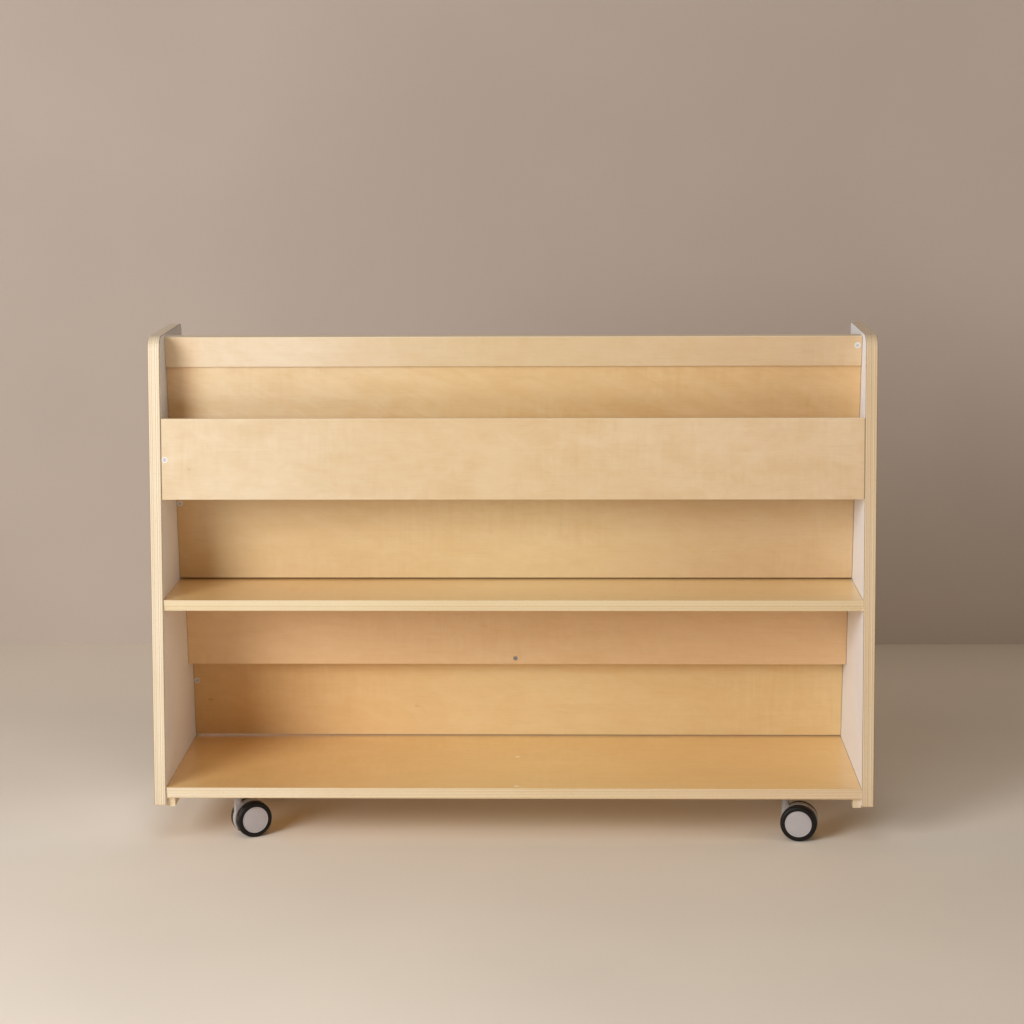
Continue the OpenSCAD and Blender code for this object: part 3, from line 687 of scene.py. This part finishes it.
# Merges doubled points, such as those at a pole, joins faces in one plane where an angle is
# given, and turns every face outwards.
def closedPiece(name, mesh, flatWithin=None):
    work = bmesh.new()
    work.from_mesh(mesh)
    bmesh.ops.remove_doubles(work, verts=work.verts, dist=mergeWithin)
    if flatWithin is not None:
        bmesh.ops.dissolve_limit(work, angle_limit=flatWithin, verts=work.verts, edges=work.edges)
    bmesh.ops.recalc_face_normals(work, faces=work.faces)
    work.to_mesh(mesh)
    work.free()
    mesh.polygons.foreach_set("use_smooth", np.ones(len(mesh.polygons), bool))
    made = bpy.data.objects.new(name, mesh)
    scene.collection.objects.link(made)
    return made


# Dresses a piece that takes a node's place on its body.
def standIn(piece, node, body, material):
    piece.data.materials.clear()
    piece.data.materials.append(material)
    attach(piece, body)
    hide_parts(node)


# The swivel's neck and hood: a copy of the node with its edges rounded
def roundedHood(name, node, form):
    mesh = nodes[node].data.copy()
    mesh.name = name
    piece = closedPiece(name, mesh, math.radians(form["flatWithin"]))
    bevel = piece.modifiers.new("roundedEdges", "BEVEL")
    bevel.width = form["edge"]
    bevel.segments = form["edgeSteps"]
    bevel.limit_method = "ANGLE"
    bevel.angle_limit = math.radians(form["edgeAngle"])
    piece.modifiers.new("flatFaces", "WEIGHTED_NORMAL")
    return piece


steel = zincMetal("steel_castor", *castorLooks["steel"])
greyBody = mouldedPlastic("grey_body", *castorLooks["body"])
greyDisc = mouldedPlastic("grey_disc", *castorLooks["disc"])


# The tyre and the disc of one wheel, placed by its spin joint
def makeWheel(joint, castor, side):
    middle, axis = np.array(joint["pos_m"]), np.array(joint["axis"])
    outward = axis if side == "far" else -axis
    tyreNode = castor + "_tyre_" + side
    origin = middle + outward * float(((pointsOf(tyreNode) - middle) @ outward).min())
    rubber = tyreRubber("rubber_" + joint["name"], joint["pos_m"], joint["axis"])
    tyre = turned(castor + "_rounded_tyre_" + side, tyreOutline(wheelForm), origin, outward,
                  wheelForm["steps"], True)
    standIn(tyre, tyreNode, joint["child"], rubber)
    disc = turned(castor + "_domed_disc_" + side, discOutline(wheelForm), origin, outward,
                  wheelForm["steps"], False)
    standIn(disc, castor + "_wheel_" + side, joint["child"], greyDisc)


def dressCastor(castor):
    hood = roundedHood(castor + "_hood", castor + "_body", hoodForm)
    standIn(hood, castor + "_body", castor + "_swivel", greyBody)
    for part in ("plate", "pin", "axle"):
        wear(castor + "_" + part, steel)


for joint in frame["joints"]:
    if joint["name"].endswith("_spin"):
        castor, side = joint["name"].rsplit("_", 2)[:2]
        makeWheel(joint, castor, side)
        if side == "near":
            dressCastor(castor)
print("castors done")


# Room and light
room = {
    "floor": shade(249, 239, 225),
    "floorReach": 14,  # metres
    "wall": shade(206, 192, 181),
    "wallY": 1.32,
    "wallReach": 7,
    "wallHeight": 6,
    "clouds": ((1.2, 1.2, 1.2), 3, 0.5),
    "dim": 0.93,
    "lamps": {
        "key": {"place": (-2.25, -2.95, 1.62), "aim": (0, 0, 0.42), "size": 1.8, "power": 101,
                "colour": (0.99, 1.0, 1.02)},
        "side": {"place": (3.4, -1.2, 0.75), "aim": (-0.6, -0.1, 0.5), "size": 1.2, "power": 12,
                 "colour": (1.0, 0.96, 0.94)},
        "above": {"place": (-0.3, -2.2, 3.0), "aim": (0, 0, 0.4), "size": 1.6, "power": 13,
                  "colour": (1.0, 1.0, 0.98)},
    },
    "ambient": ((1.0, 0.82, 0.6, 1), 0.17),  # colour and strength
}


def plane(name, corners, material):
    mesh = bpy.data.meshes.new(name)
    mesh.from_pydata([Vector(c) for c in corners], [], [(0, 1, 2, 3)])
    mesh.materials.append(material)
    made = bpy.data.objects.new(name, mesh)
    scene.collection.objects.link(made)


# Matt paint, faintly uneven; a one-sided surface can be looked through from behind.
def stageMaterial(name, colour, oneSided=False):
    material, tree = newMaterial(name)
    place = put(tree, "TexCoord").outputs["Object"]
    clouds = spread(tree, noise(tree, place, *room["clouds"]), *noiseRange)
    mixed = blendColour(tree, clouds, colour, dimmed(colour, room["dim"]))
    surface = put(tree, "BsdfDiffuse", {"Color": mixed}).outputs[0]
    if oneSided:
        clear = put(tree, "BsdfTransparent").outputs[0]
        back = put(tree, "NewGeometry").outputs["Backfacing"]
        surface = put(tree, "MixShader", {0: back, 1: surface, 2: clear}).outputs[0]
    out = put(tree, "OutputMaterial")
    tree.links.new(surface, out.inputs[0])
    return material


def makeRoom(r):
    far, wide, back, high = r["floorReach"], r["wallReach"], r["wallY"], r["wallHeight"]
    plane("floor", ((-far, -far, 0), (far, -far, 0), (far, far, 0), (-far, far, 0)),
          stageMaterial("paleFloor", r["floor"]))
    plane("backdrop", ((-wide, back, 0), (wide, back, 0), (wide, back, high), (-wide, back, high)),
          stageMaterial("paleWall", r["wall"], oneSided=True))


def softbox(name, look):
    data = bpy.data.lights.new(name, "AREA")
    data.shape = "DISK"
    data.size = look["size"]
    data.energy = look["power"]
    data.color = look["colour"]
    light = bpy.data.objects.new(name, data)
    towards = Vector(look["aim"]) - Vector(look["place"])
    turn = towards.to_track_quat("-Z", "Y").to_matrix().to_4x4()
    light.matrix_world = Matrix.Translation(look["place"]) @ turn
    scene.collection.objects.link(light)


makeRoom(room)
for name, look in room["lamps"].items():
    softbox(name + "Softbox", look)
world = bpy.data.worlds.new("studio")
world.use_nodes = True
scene.world = world
backing = world.node_tree.nodes["Background"]
backing.inputs["Color"].default_value, backing.inputs["Strength"].default_value = room["ambient"]
scene.view_settings.view_transform = "Standard"
print("room and light done")
